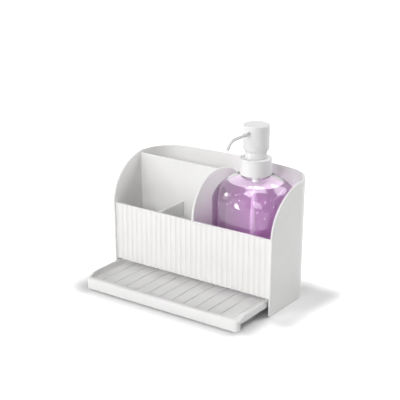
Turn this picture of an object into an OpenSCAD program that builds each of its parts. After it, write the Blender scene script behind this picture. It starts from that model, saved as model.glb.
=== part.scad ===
// Counter caddy with a fluted front, a pull-out drip tray and a pump dispenser.
// Millimetres, +Z up. The origin is the middle of the footprint at the level of
// the counter, and the front of the caddy looks towards -Y.

/* [Caddy body] */
// Outer width at the foot
body_w = 230; // [200:1:280]
// Outer depth at the foot
body_d = 95; // [88:1:125]
// Height of the rear wall at its middle
back_h = 155; // [150:1:185]
// Fall of the rim from the middle of the rear wall to the side walls
rim_drop = 4.8; // [1:0.1:6]
// Height of the front panel's top edge
front_h = 95; // [75:1:110]
// Depth over which the side walls arch from the front edge up to the rim
arch_run = 66; // [40:1:80]
// Wall thickness
wall_t = 3; // [2:0.1:4]
// Outward lean of the side and rear walls over the full height
lean = 2; // [0.4:0.1:3]
// Plan radius of the two rear corners
corner_r = 33; // [15:1:40]
// Radius of the side walls' lower front corner
toe_r = 2; // [0.5:0.1:3]

/* [Front panel] */
// Panel thickness over the ridges between flutes
panel_t = 3.8; // [2.6:0.1:5]
// Setback of the panel behind the side walls' front edges
panel_recess = 2; // [0.5:0.1:4]
// Number of upright flutes
flute_count = 30; // [16:1:40]
// Depth of a flute
flute_depth = 0.9; // [0.3:0.1:1.2]

/* [Floor] */
// Height of the tray bay under the floor
bay_h = 21.3; // [20.6:0.1:26]
// Floor thickness
floor_t = 3; // [2:0.1:4]
// Width of a drain slot
slot_w = 3.5; // [2:0.1:4]
// Spacing of the drain slots
slot_pitch = 10; // [7:0.5:16]
// Margin between the drain slots and the walls of a compartment
slot_margin = 8; // [5:0.5:12]

/* [Compartments] */
// Divider thickness
divider_t = 3; // [2:0.1:4]
// Inside width of the front left compartment
small_pocket_w = 62; // [40:1:64]
// Inside depth of the two front compartments
front_pocket_d = 49.2; // [42:0.1:54]
// Height of the tall divider and of the pump pocket's wall
tall_h = 147; // [125:1:149]
// Inside width of the pump pocket
pump_pocket_w = 107.4; // [96:0.1:112]
// Fall of the pump pocket's wall from the tall divider to the rear wall
pocket_drop = 12.6; // [2:0.1:20]

/* [Drip tray] */
// How far the tray is pulled out
tray_out = 62; // [20:1:66]
// Thickness of the tray's walls and base
tray_t = 2.2; // [1.6:0.1:3]
// Height of the tray's base above the counter
tray_z = 10.6; // [9:0.1:11]
// Height of the tray's side and rear rims above the counter
tray_rim_z = 20.4; // [18.6:0.1:20.5]
// Gap between the tray and the caddy's walls
tray_gap = 1.5; // [0.5:0.1:2]
// Height of the lip's lower edge above the counter
lip_z = 3.4; // [2:0.1:5]
// Height of the lip's top above the counter
lip_top_z = 17; // [15.5:0.1:18]
// Depth of the lip from front to rear
lip_d = 7; // [6:0.1:9]
// Radius of the lip's rounded front edge
lip_r = 3.4; // [2:0.1:4]
// Spacing of the ribs on the tray's base
rib_pitch = 17.3; // [12:0.1:24]
// Width of a rib
rib_w = 1.6; // [1:0.1:2.4]
// Height of a rib
rib_h = 1; // [0.5:0.1:1.5]

/* [Tray runners] */
// Height of a runner
runner_h = 3; // [2:0.1:6]
// Width that a runner stands out from the side wall
runner_w = 13; // [11:0.5:16]
// Running gap between the tray and its runners
runner_gap = 0.2; // [0.1:0.05:0.4]

/* [Bottle] */
// Gap between the bottle and the pocket's walls
bottle_gap = 0.5; // [0.4:0.1:1.5]
// Free width left beside the bottle
bottle_play = 4.6; // [2:0.1:6]
// Free depth left in front of the bottle
bottle_front_play = 4.4; // [1:0.1:6]
// Height of the bottle's straight sides
bottle_side_h = 96; // [85:1:100]
// Height of the bottle's domed shoulder
shoulder_h = 30.6; // [26:0.1:34]
// Bottle wall thickness
bottle_t = 2; // [1.4:0.1:2.6]
// Outer radius of the neck
neck_r = 16.2; // [15.8:0.1:17]
// Height of the neck's support bead
bead_h = 1.5; // [1:0.1:1.8]
// Width that the support bead stands out from the neck
bead_w = 1.2; // [0.6:0.1:1.6]
// Level of the soap below the top of the shoulder
soap_drop = 9; // [9:0.5:30]

/* [Collar and pump housing] */
// Wall thickness of the screw collar
collar_t = 2.6; // [2:0.1:3.2]
// Height of the collar
collar_h = 20; // [19:0.1:21]
// Gap between the collar and the support bead
collar_gap = 0.4; // [0.3:0.1:1]
// Clearance between the collar and what turns or slides inside it
collar_fit = 0.2; // [0.1:0.05:0.4]
// Thickness of the neck gasket
gasket_t = 1; // [0.8:0.1:1.5]
// Thickness of the housing's flange
flange_t = 1.4; // [1:0.1:1.8]
// Bore radius of the pump housing
cylinder_r = 7; // [6:0.1:8]
// Wall thickness of the pump housing
housing_t = 1.4; // [1:0.1:1.8]
// Height of the housing's socket for the dip tube
socket_h = 4; // [3:0.1:5]
// Outer radius of the dip tube
dip_r = 3.2; // [2.8:0.1:3.6]
// Wall thickness of the dip tube
dip_t = 0.9; // [0.6:0.1:1.2]
// Gap between the dip tube's end and the bottom of the bottle
dip_gap = 3; // [2:0.5:8]
// Radius of the valve ball
ball_r = 1.6; // [1.4:0.1:2]
// Lift of the valve ball off its seat
ball_lift = 1; // [0.6:0.1:1.4]
// Clearance round the valve ball in its cage
ball_gap = 0.5; // [0.3:0.1:0.7]
// Thickness of the valve seat
seat_t = 1; // [0.8:0.1:1.4]
// Thickness of the guide ring's disc
guide_t = 1.2; // [1:0.1:1.6]

/* [Plunger and head] */
// Press of the pump head
stroke = 6; // [3:0.1:6]
// Gap between the pressed head's shoulder and the collar
press_gap = 1.3; // [0.6:0.1:2]
// Gap between the pressed skirt and the guide ring, and under the pressed piston
end_gap = 0.7; // [0.5:0.1:1]
// Outer radius of the stem
stem_r = 3; // [2.6:0.1:3.3]
// Bore radius of the stem
stem_bore_r = 1.6; // [1:0.1:1.8]
// Running clearance of the piston and the stem
run_fit = 0.05; // [0.02:0.01:0.08]
// Height of the piston
piston_h = 4; // [3:0.1:4.4]
// Depth of the stem's seat in the head
stem_seat = 6; // [4:0.1:8]
// Radius of the pump head
head_r = 16; // [14.5:0.1:18]
// Height from the head's shoulder to its top
head_h = 33; // [28:0.1:38]
// Radius of the skirt under the head
skirt_r = 13.1; // [12:0.1:13.4]
// Wall thickness of the skirt
skirt_t = 2; // [1.5:0.1:2.5]
// Height of the bevel between the skirt and the head
bevel_h = 3.7; // [2:0.1:4.5]
// Radius of the head's top edge
head_edge_r = 1.6; // [0.5:0.1:3]
// Wire diameter of the return spring
wire_d = 1.1; // [0.8:0.1:1.3]
// Mean radius of the return spring
coil_r = 6.2; // [5.4:0.1:7]
// Curls of the return spring
curls = 7; // [5:1:8]

/* [Nozzle] */
// Reach of the nozzle from the pump's axis to the start of its bend
nozzle_reach = 46; // [36:1:52]
// Distance of the nozzle below the head's top
nozzle_drop = 8.2; // [6:0.1:10]
// Outer radius of the nozzle
nozzle_r = 2.2; // [1.8:0.1:2.6]
// Bore radius of the nozzle
nozzle_bore_r = 1.3; // [0.8:0.1:1.5]
// Radius of the nozzle's bend
bend_r = 16; // [8:0.5:20]
// Turn of the nozzle's bend in degrees
bend_angle = 55; // [30:1:80]
// Straight length after the bend
tip_l = 3; // [2:0.1:6]
// Depth of the nozzle's seat in the head
nozzle_seat = 7; // [5:0.1:9]
// Narrowing of the nozzle at each end of its bend
nozzle_step = 0.1; // [0.05:0.05:0.2]

/* [Hidden] */

// Overrun of cuts, and the smoothness of round and drawn curves
cut = 1;
round_fn = 96;
arch_steps = 36;
rim_steps = 40;
slice_t = 0.2;
oval_points = 48;

// Places along Y, from the front of the side walls to the rear
front_y = (tray_out - body_d - lean) / 2;
panel_y = front_y + panel_recess;
inside_y = panel_y + panel_t;
tall_y = inside_y + front_pocket_d;
rear_y = front_y + body_d - wall_t;

// Half widths and places along X
inside_x = body_w / 2 - wall_t;
pocket_x = inside_x - pump_pocket_w - divider_t;
low_x = small_pocket_w - inside_x;
side_h = back_h - rim_drop;
floor_z = bay_h + floor_t;

// Tray
tray_x = inside_x - tray_gap;
tray_y = front_y - tray_out;
tray_len = body_d - wall_t - 2 * tray_gap;
tray_corner_r = corner_r - wall_t - tray_gap;
rib_count = floor((2 * (tray_x - tray_t) - rib_w) / rib_pitch);
runner_top = tray_z - runner_gap;
runner_y = front_y + lip_d + 2 * tray_gap;
runner_len = rear_y - corner_r + wall_t - runner_y;

// Bottle
bottle_a = (pump_pocket_w - bottle_play - 2 * bottle_gap) / 2;
bottle_b = (rear_y - inside_y - bottle_front_play - 2 * bottle_gap) / 2;
pump_x = inside_x - bottle_gap - bottle_a;
pump_y = rear_y - bottle_gap - bottle_b;
shoulder_z = floor_z + bottle_side_h;
neck_z = shoulder_z + shoulder_h;
bead_z = neck_z + collar_gap / 2;
neck_bore_r = neck_r - bottle_t;
shoulder_top_r = neck_r + bead_w + bottle_t;
soap_z = neck_z - soap_drop;
soap_gap = 0.3;
// Roundness of the bottle's plan, 2 being an ellipse, and of its shoulder curve
plan_power = 2.75;
shoulder_power = 1.63;
// Steps of the shoulder curve and of the base's rounding, from 0 to 1
shoulder_shares = [0, 0.14, 0.28, 0.42, 0.56, 0.7, 0.85, 1];
base_shares = [0, 0.35, 0.7, 1];
base_round = 5;

// Levels of the collar and the pump
collar_z = bead_z + bead_h + collar_gap;
collar_top = collar_z + collar_h;
collar_r = neck_r + collar_fit + collar_t;
skirt_low = collar_top - 2 * collar_gap;
guide_z = skirt_low - stroke - end_gap - guide_t;
guide_top = collar_top - collar_t;
flange_z = guide_z - flange_t;
neck_top = flange_z - gasket_t;
neck_h = neck_top - neck_z;
chamber_h = collar_gap + piston_h + stroke + end_gap;
chamber_z = flange_z - chamber_h;
housing_r = cylinder_r + housing_t;
seat_hole_r = 0.8 * ball_r;
cage_h = ball_r + sqrt(ball_r * ball_r - seat_hole_r * seat_hole_r) + ball_lift + 2 * run_fit;
cage_z = chamber_z - cage_h;
socket_z = cage_z - seat_t - socket_h;
dip_end_z = floor_z + bottle_t + dip_gap;
ball_z = cage_z + sqrt(ball_r * ball_r - seat_hole_r * seat_hole_r) + run_fit;

// Levels of the plunger and the head
head_z = collar_top + stroke + press_gap;
head_top = head_z + head_h;
ceiling_z = head_z + bevel_h + skirt_t;
skirt_bore_r = skirt_r - skirt_t;
stem_top = ceiling_z + stem_seat;
piston_top = flange_z - collar_gap;
piston_z = piston_top - piston_h;
spring_low = guide_z + guide_t + run_fit;
spring_high = ceiling_z - run_fit;
nozzle_z = head_top - nozzle_drop;
nozzle_start = head_r - nozzle_seat;
duct_r = nozzle_bore_r;

// Outward shift of a leaning wall at height z
function lean_at(z) = lean * z / back_h;
// Height of a quarter ellipse at distance t from its low end
function arch_at(t, run, rise) = rise * sqrt(max(0, 1 - pow((run - t) / run, 2)));
// Oval outline whose power goes from an ellipse towards a rectangle
function oval(a, b, power) = [for (i = [0 : oval_points - 1])
    let (t = 360 * i / oval_points, c = cos(t), s = sin(t))
    [a * sign(c) * pow(abs(c), 2 / power), b * sign(s) * pow(abs(s), 2 / power)]];
// Share of the shoulder's width and height at step k of its curve
function shoulder_out(k) = pow(cos(90 * k), 2 / shoulder_power);
function shoulder_up(k) = pow(sin(90 * k), 2 / shoulder_power);

// Block between two heights whose sides lean outwards
module leaning_span(inset, z0, z1, y0, y1) {
    w = body_w / 2 - inset;
    translate([0, y1, 0])
        rotate([90, 0, 0])
            linear_extrude(y1 - y0)
                polygon([[-w - lean_at(z0), z0], [w + lean_at(z0), z0],
                    [w + lean_at(z1), z1], [-w - lean_at(z1), z1]]);
}

// The same block with a leaning rear and rounded rear corners
module leaning_block(inset, z0, z1, y0) {
    w = body_w / 2 - inset;
    y1 = front_y + body_d - inset;
    r = corner_r - inset;
    leaning_span(inset, z0, z1, y0, y1 - r);
    translate([r - w, 0, 0])
        rotate([90, 0, 90])
            linear_extrude(2 * (w - r))
                polygon([[y0, z0], [y1 + lean_at(z0), z0], [y1 + lean_at(z1), z1], [y0, z1]]);
    for (side = [-1, 1])
        translate([side * (w - r), y1 - r, z0])
            cylinder(h = z1 - z0, r1 = r + lean_at(z0), r2 = r + lean_at(z1), $fn = round_fn);
}

// Side view of the walls, with the arch up from the front edge to the rim
module arch_profile() {
    far_y = front_y + body_d + lean + cut;
    toe = [for (i = [0 : 6]) [front_y + toe_r - toe_r * sin(15 * i), toe_r - toe_r * cos(15 * i)]];
    arch = [for (i = [0 : arch_steps])
        let (t = arch_run * (1 - cos(90 * i / arch_steps)))
        [front_y + t, front_h + arch_at(t, arch_run, side_h - front_h)]];
    translate([-body_w / 2 - lean - cut, 0, 0])
        rotate([90, 0, 90])
            linear_extrude(body_w + 2 * (lean + cut))
                polygon(concat(toe, arch,
                    [[front_y + arch_run, back_h + cut], [far_y, back_h + cut], [far_y, 0]]));
}

// Front view of the walls, whose rim falls from its middle to the sides
module rim_profile() {
    w = body_w / 2 + lean + cut;
    rim = [for (i = [0 : rim_steps])
        let (x = w * (2 * i / rim_steps - 1))
        [x, back_h - rim_drop * pow(x / inside_x, 2)]];
    translate([0, front_y + body_d + lean + cut, 0])
        rotate([90, 0, 0])
            linear_extrude(body_d + lean + 2 * cut)
                polygon(concat([[w, 0], [-w, 0]], rim));
}

// Row of drain slots that run from front to rear
module slot_row(x0, x1, y0, y1) {
    room = x1 - x0 - 2 * slot_margin - slot_w;
    count = floor(room / slot_pitch) + 1;
    first = (x0 + x1 - (count - 1) * slot_pitch) / 2;
    long = y1 - y0 - 2 * slot_margin - slot_w;
    for (i = [0 : count - 1])
        translate([first + i * slot_pitch, y0 + slot_margin + slot_w / 2, bay_h - cut]) {
            translate([-slot_w / 2, 0, 0])
                cube([slot_w, long, floor_t + 2 * cut]);
            for (y = [0, long])
                translate([0, y, 0])
                    cylinder(h = floor_t + 2 * cut, d = slot_w, $fn = round_fn / 3);
        }
}

module outer_shell() {
    color("whitesmoke")
        difference() {
            intersection() {
                leaning_block(0, 0, back_h, front_y);
                arch_profile();
                rim_profile();
            }
            leaning_block(wall_t, -cut, back_h + cut, front_y - cut);
        }
}

module front_panel() {
    pitch = 2 * inside_x / flute_count;
    flute_r = (pow(pitch / 2, 2) + pow(flute_depth, 2)) / (2 * flute_depth);
    color("white")
        difference() {
            leaning_span(wall_t, bay_h, front_h, panel_y, inside_y);
            for (i = [0 : flute_count - 1])
                translate([(i + 0.5) * pitch - inside_x, panel_y + flute_depth - flute_r, bay_h - cut])
                    cylinder(h = front_h - bay_h + 2 * cut, r = flute_r, $fn = round_fn);
        }
}

module floor_grid() {
    color("whitesmoke")
        difference() {
            leaning_block(wall_t, bay_h, floor_z, inside_y);
            slot_row(-inside_x, low_x, inside_y, tall_y);
            slot_row(low_x + divider_t, pocket_x, inside_y, tall_y);
            slot_row(-inside_x, pocket_x, tall_y + divider_t, rear_y);
            slot_row(pocket_x + divider_t, inside_x, inside_y, rear_y);
        }
}

module tall_divider() {
    color("white")
        translate([0, tall_y + divider_t, 0])
            rotate([90, 0, 0])
                linear_extrude(divider_t)
                    polygon([[-inside_x - lean_at(floor_z), floor_z], [pocket_x, floor_z],
                        [pocket_x, tall_h], [-inside_x - lean_at(tall_h), tall_h]]);
}

module low_divider() {
    color("whitesmoke")
        translate([low_x, inside_y, floor_z])
            cube([divider_t, front_pocket_d, front_h - floor_z]);
}

// The pump pocket's wall arches up to the tall divider and falls to the rear wall
module pocket_wall() {
    run = tall_y - panel_y;
    far_z = tall_h - pocket_drop;
    back_run = rear_y + lean_at(far_z) - tall_y;
    arch = [for (i = [0 : arch_steps])
        let (t = run * (1 - cos(90 * i / arch_steps)))
        [panel_y + t, front_h + arch_at(t, run, tall_h - front_h)]];
    fall = [for (i = [1 : rim_steps / 4])
        let (t = 4 * i / rim_steps)
        [tall_y + back_run * t, tall_h - pocket_drop * t * t]];
    color("whitesmoke")
        translate([pocket_x, 0, 0])
            rotate([90, 0, 90])
                linear_extrude(divider_t)
                    polygon(concat([[inside_y, floor_z], [inside_y, front_h]], arch, fall,
                        [[rear_y + lean_at(floor_z), floor_z]]));
}

// Ledge on the inside of a side wall that carries the tray
module runner(side) {
    low = runner_top - runner_h;
    color("gainsboro")
        scale([side, 1, 1])
            translate([0, runner_y + runner_len, 0])
                rotate([90, 0, 0])
                    linear_extrude(runner_len)
                        polygon([[inside_x - runner_w, low], [inside_x + lean_at(low), low],
                            [inside_x + lean_at(runner_top), runner_top],
                            [inside_x - runner_w, runner_top]]);
}

module runner_left() {
    runner(-1);
}

module runner_right() {
    runner(1);
}

// Plan of the tray with rounded rear corners
module tray_plan(inset, y0) {
    x = tray_x - inset;
    y1 = tray_y + tray_len - inset;
    r = tray_corner_r - inset;
    translate([-x, y0])
        square([2 * x, y1 - r - y0]);
    translate([r - x, y0])
        square([2 * (x - r), y1 - y0]);
    for (side = [-1, 1])
        translate([side * (x - r), y1 - r])
            circle(r, $fn = round_fn);
}

// Side view of the hollow lip, rounded at its top front edge
module lip_profile(inset, low) {
    y0 = tray_y + inset;
    y1 = tray_y + lip_d - inset;
    top = lip_top_z - inset;
    r = lip_r - inset;
    edge = [for (i = [0 : 8]) [y0 + r - r * cos(90 * i / 8), top - r + r * sin(90 * i / 8)]];
    polygon(concat([[y1, low], [y0, low]], edge, [[y1, top]]));
}

module drip_tray() {
    pan_y = tray_y + lip_d - tray_t;
    rim_run = tray_rim_z - lip_top_z;
    color("white")
        difference() {
            union() {
                difference() {
                    translate([0, 0, tray_z])
                        linear_extrude(tray_rim_z - tray_z)
                            tray_plan(0, pan_y);
                    translate([0, 0, tray_z + tray_t])
                        linear_extrude(tray_rim_z - tray_z)
                            tray_plan(tray_t, pan_y - cut);
                }
                for (i = [0 : rib_count - 1])
                    translate([(i - (rib_count - 1) / 2) * rib_pitch - rib_w / 2,
                            tray_y + lip_d - tray_t / 2, tray_z + tray_t / 2])
                        cube([rib_w, tray_len - tray_corner_r - lip_d, tray_t / 2 + rib_h]);
                translate([-tray_x, 0, 0])
                    rotate([90, 0, 90])
                        linear_extrude(2 * tray_x)
                            lip_profile(0, lip_z);
            }
            translate([-tray_x + tray_t, 0, 0])
                rotate([90, 0, 90])
                    linear_extrude(2 * (tray_x - tray_t))
                        lip_profile(tray_t, lip_z - cut);
            // The side rims come down to the lip in a bevel
            translate([-tray_x - cut, 0, 0])
                rotate([90, 0, 90])
                    linear_extrude(2 * (tray_x + cut))
                        polygon([[tray_y - cut, lip_top_z], [tray_y + lip_d, lip_top_z],
                            [tray_y + lip_d + 2 * rim_run, tray_rim_z],
                            [tray_y + lip_d + 2 * rim_run, tray_rim_z + cut],
                            [tray_y - cut, tray_rim_z + cut]]);
        }
}

// Bottle form: rounded base, straight oval sides and a domed shoulder
module bottle_form(inset, low, top_r) {
    a = bottle_a - inset;
    b = bottle_b - inset;
    rise = neck_z - shoulder_z - inset;
    hull() {
        for (k = base_shares)
            translate([0, 0, low + base_round * (1 - cos(90 * k))])
                linear_extrude(slice_t)
                    polygon(oval(a - base_round * (1 - sin(90 * k)), b - base_round * (1 - sin(90 * k)),
                        plan_power));
        for (k = shoulder_shares)
            translate([0, 0, shoulder_z + rise * shoulder_up(k) - slice_t])
                linear_extrude(slice_t)
                    polygon(oval(top_r + (a - top_r) * shoulder_out(k), top_r + (b - top_r) * shoulder_out(k),
                        plan_power + (2 - plan_power) * k));
    }
}

module at_pump(z = 0) {
    translate([pump_x, pump_y, z])
        children();
}

module bottle() {
    color([0.86, 0.78, 0.9, 0.4])
        at_pump()
            difference() {
                union() {
                    bottle_form(0, floor_z, shoulder_top_r);
                    translate([0, 0, neck_z - bottle_t])
                        cylinder(h = neck_h + bottle_t, r = neck_r, $fn = round_fn);
                    translate([0, 0, bead_z])
                        cylinder(h = bead_h, r = neck_r + bead_w, $fn = round_fn);
                }
                bottle_form(bottle_t, floor_z + bottle_t, shoulder_top_r - bottle_t);
                translate([0, 0, neck_z - 2 * bottle_t])
                    cylinder(h = neck_h + 2 * bottle_t + cut, r = neck_bore_r, $fn = round_fn);
            }
}

module soap() {
    color([0.66, 0.46, 0.7, 0.7])
        at_pump()
            difference() {
                intersection() {
                    bottle_form(bottle_t + soap_gap, floor_z + bottle_t + soap_gap,
                        shoulder_top_r - bottle_t);
                    translate([-bottle_a, -bottle_b, floor_z])
                        cube([2 * bottle_a, 2 * bottle_b, soap_z - floor_z]);
                }
                translate([0, 0, dip_end_z - soap_gap])
                    cylinder(h = soap_z - dip_end_z + soap_gap + cut, r = dip_r + soap_gap, $fn = round_fn);
            }
}

// Round ring with a bore
module ring(h, outer, bore) {
    difference() {
        cylinder(h = h, r = outer, $fn = round_fn);
        translate([0, 0, -cut])
            cylinder(h = h + 2 * cut, r = bore, $fn = round_fn);
    }
}

module neck_gasket() {
    color("gainsboro")
        at_pump(neck_top)
            ring(gasket_t, neck_r, housing_r + run_fit);
}

// Flanged cylinder over a ball cage, a valve seat and the dip tube's socket
module pump_housing() {
    color("white")
        at_pump() {
            difference() {
                union() {
                    translate([0, 0, flange_z])
                        cylinder(h = flange_t, r = neck_r, $fn = round_fn);
                    translate([0, 0, chamber_z - housing_t])
                        cylinder(h = chamber_h + housing_t, r = housing_r, $fn = round_fn);
                    translate([0, 0, socket_z])
                        cylinder(h = chamber_z - socket_z, r = dip_r + housing_t, $fn = round_fn);
                }
                translate([0, 0, chamber_z])
                    cylinder(h = chamber_h + flange_t + cut, r = cylinder_r, $fn = round_fn);
                translate([0, 0, socket_z - cut])
                    cylinder(h = socket_h + cut, r = dip_r, $fn = round_fn);
                translate([0, 0, cage_z])
                    cylinder(h = cage_h + cut, r = ball_r + ball_gap, $fn = round_fn);
                translate([0, 0, socket_z])
                    cylinder(h = socket_h + seat_t + cut, r = seat_hole_r, $fn = round_fn);
            }
        }
}

// Ring that clamps the housing and guides the stem and the skirt
module guide_ring() {
    color("whitesmoke")
        at_pump(guide_z)
            difference() {
                cylinder(h = guide_top - guide_z, r = neck_r, $fn = round_fn);
                translate([0, 0, guide_t])
                    cylinder(h = guide_top - guide_z + cut, r = skirt_r + collar_fit, $fn = round_fn);
                translate([0, 0, -cut])
                    cylinder(h = guide_t + 2 * cut, r = stem_r + run_fit, $fn = round_fn);
            }
}

module dip_tube() {
    color([0.95, 0.93, 0.97, 0.8])
        at_pump(dip_end_z)
            ring(socket_z + socket_h - dip_end_z, dip_r, dip_r - dip_t);
}

module valve_ball() {
    color("silver")
        at_pump(ball_z)
            sphere(ball_r, $fn = round_fn);
}

module screw_collar() {
    color("white")
        at_pump(collar_z)
            difference() {
                cylinder(h = collar_h, r = collar_r, $fn = round_fn);
                translate([0, 0, -cut])
                    cylinder(h = collar_h - collar_t + cut, r = neck_r + collar_fit, $fn = round_fn);
                translate([0, 0, -cut])
                    cylinder(h = collar_h + 2 * cut, r = skirt_r + collar_fit, $fn = round_fn);
            }
}

module piston() {
    color("gainsboro")
        at_pump(piston_z)
            ring(piston_h, cylinder_r - run_fit, stem_r);
}

module stem() {
    color("white")
        at_pump(piston_z)
            ring(stem_top - piston_z, stem_r, stem_bore_r);
}

// Points of the spring's centre line, whose rise is slower at both ends
spring_rings = 8;
spring_sides = 6;
spring_ease_share = 0.3;
spring_span = spring_high - spring_low - wire_d;
function spring_rise(u) = spring_low + wire_d / 2
    + spring_span * (u / curls - spring_ease_share * sin(360 * u / curls) / (2 * PI));
function spring_point(i) = let (u = i / spring_rings)
    [coil_r * cos(360 * u), coil_r * sin(360 * u), spring_rise(u)];
function spring_corner(i, j) = let (p = spring_point(i), u = i / spring_rings, t = 360 * j / spring_sides,
    out = wire_d / 2 * cos(t))
    [p[0] + out * cos(360 * u), p[1] + out * sin(360 * u), p[2] + wire_d / 2 * sin(t)];
spring_count = curls * spring_rings;
spring_gap = min([for (i = [0 : spring_count - spring_rings]) spring_point(i + spring_rings)[2]
    - spring_point(i)[2]]) - wire_d;
echo(least_spring_gap = spring_gap);

module return_spring() {
    n = spring_sides;
    points = [for (i = [0 : spring_count]) for (j = [0 : n - 1]) spring_corner(i, j)];
    walls = [for (i = [0 : spring_count - 1]) for (j = [0 : n - 1])
        let (a = i * n + j, b = i * n + (j + 1) % n)
        each [[a, b, b + n], [a, b + n, a + n]]];
    first = [for (j = [1 : n - 2]) [0, j + 1, j]];
    end = spring_count * n;
    last = [for (j = [1 : n - 2]) [end, end + j, end + j + 1]];
    color("silver")
        at_pump()
            polyhedron(points, concat(walls, first, last));
}

// Hollow head with a skirt, a socket for the stem and a duct to the nozzle
module pump_head() {
    dome = [for (i = [0 : 6]) [head_r - head_edge_r + head_edge_r * cos(15 * i),
        head_top - head_edge_r + head_edge_r * sin(15 * i)]];
    color("white")
        at_pump()
            difference() {
                rotate_extrude($fn = round_fn)
                    polygon(concat([[0, skirt_low], [skirt_r, skirt_low], [skirt_r, head_z],
                        [head_r, head_z + bevel_h]], dome, [[0, head_top]]));
                translate([0, 0, skirt_low - cut])
                    cylinder(h = ceiling_z - skirt_low + cut, r = skirt_bore_r, $fn = round_fn);
                translate([0, 0, ceiling_z - cut])
                    cylinder(h = stem_top - ceiling_z + cut + run_fit, r = stem_r + run_fit, $fn = round_fn);
                translate([0, 0, stem_top - cut])
                    cylinder(h = nozzle_z - stem_top + cut, r = duct_r, $fn = round_fn);
                translate([0, 0, nozzle_z])
                    rotate([90, 0, 0])
                        cylinder(h = nozzle_start, r = duct_r, $fn = round_fn);
                translate([0, -nozzle_start, nozzle_z])
                    rotate([90, 0, 0])
                        cylinder(h = nozzle_seat + cut, r = nozzle_r + run_fit, $fn = round_fn);
            }
}

// Tube along the nozzle's straight, bend and tip, which narrows by a step at each joint
module nozzle_run(r, over) {
    straight = nozzle_reach - nozzle_start;
    rotate([90, 0, 0])
        translate([0, 0, -over])
            cylinder(h = straight + over, r = r, $fn = round_fn);
    translate([0, -straight, -bend_r]) {
        rotate([0, -90, 180])
            rotate_extrude(angle = bend_angle, $fn = round_fn)
                translate([bend_r, 0])
                    circle(r - nozzle_step, $fn = round_fn);
        translate([0, -bend_r * sin(bend_angle), bend_r * cos(bend_angle)])
            rotate([90 + bend_angle, 0, 0])
                cylinder(h = tip_l + over, r = r - 2 * nozzle_step, $fn = round_fn);
    }
}

module nozzle() {
    color("white")
        at_pump(nozzle_z)
            translate([0, -nozzle_start, 0])
                difference() {
                    nozzle_run(nozzle_r, 0);
                    nozzle_run(nozzle_bore_r, cut);
                }
}

outer_shell();
front_panel();
floor_grid();
tall_divider();
low_divider();
pocket_wall();
runner_left();
runner_right();
drip_tray();
bottle();
soap();
neck_gasket();
pump_housing();
guide_ring();
dip_tube();
valve_ball();
screw_collar();
piston();
stem();
return_spring();
pump_head();
nozzle();
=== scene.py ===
import math

import bmesh
import bpy
import numpy as np
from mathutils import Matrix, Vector
from mathutils.geometry import delaunay_2d_cdt


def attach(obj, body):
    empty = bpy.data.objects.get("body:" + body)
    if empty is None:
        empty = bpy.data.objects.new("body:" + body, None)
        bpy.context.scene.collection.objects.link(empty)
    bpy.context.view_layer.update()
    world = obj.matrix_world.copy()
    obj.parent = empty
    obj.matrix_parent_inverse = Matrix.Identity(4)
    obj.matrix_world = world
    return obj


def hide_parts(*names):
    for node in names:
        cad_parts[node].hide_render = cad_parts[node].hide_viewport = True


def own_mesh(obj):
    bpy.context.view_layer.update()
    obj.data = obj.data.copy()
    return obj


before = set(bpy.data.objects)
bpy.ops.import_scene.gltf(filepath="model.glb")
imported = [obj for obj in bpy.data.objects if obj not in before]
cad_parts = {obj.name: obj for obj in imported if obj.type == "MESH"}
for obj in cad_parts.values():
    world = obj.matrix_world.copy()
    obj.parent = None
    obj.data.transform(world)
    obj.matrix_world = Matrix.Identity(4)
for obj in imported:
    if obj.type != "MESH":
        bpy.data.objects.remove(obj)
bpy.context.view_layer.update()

# Lengths in the shape code are millimetres; add_piece() turns them into metres
MM = 0.001

# Caddy body
BODY_W = 230.0
BODY_D = 95.0
BACK_H = 155.0
RIM_DROP = 4.8
SIDE_H = BACK_H - RIM_DROP
FRONT_H = 95.0
ARCH_RUN = 66.0
WALL_T = 3.0
LEAN = 2.0
CORNER_R = 33.0
TOE_R = 2.0
RIM_EDGE = 1.1
FRONT_Y = -17.5
REAR_Y = 74.5
INSIDE_X = BODY_W / 2 - WALL_T
SEAT = 1.0

# Front panel, floor and dividers
PANEL_Y = -15.5
INSIDE_Y = -11.7
FLUTES = 30
FLUTE_DEPTH = 0.9
BAY_H = 21.3
FLOOR_Z = 24.3
SLOT_W = 3.5
SLOT_PITCH = 10.0
SLOT_MARGIN = 8.0
DIVIDER_T = 3.0
DIVIDER_EDGE = 1.0
TALL_Y = 37.5
TALL_H = 147.0
LOW_X = -50.0
POCKET_X = 1.6
POCKET_DROP = 12.6

# Drip tray
TRAY_X = 110.5
TRAY_Y = -79.5
TRAY_LEN = 89.0
TRAY_T = 2.2
TRAY_Z = 10.6
TRAY_RIM_Z = 20.4
TRAY_CORNER_R = 28.5
LIP_Z = 3.4
LIP_TOP_Z = 17.0
LIP_D = 7.0
LIP_R = 3.4
RIB_COUNT = 12
RIB_PITCH = 17.3
RIB_W = 1.6
RIB_H = 1.0

# Bottle and soap
PUMP_X = 60.6
PUMP_Y = 33.6
BOTTLE_A = 50.9
BOTTLE_B = 40.4
BOTTLE_T = 2.0
PLAN_POWER = 2.75
SHOULDER_POWER = 1.63
BASE_ROUND = 5.0
SHOULDER_Z = 120.3
NECK_Z = 150.9
NECK_R = 16.2
NECK_TOP = 161.9
BEAD_Z = 151.1
BEAD_H = 1.5
BEAD_W = 1.2
SOAP_Z = 141.9
SOAP_OVERLAP = 0.15

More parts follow.
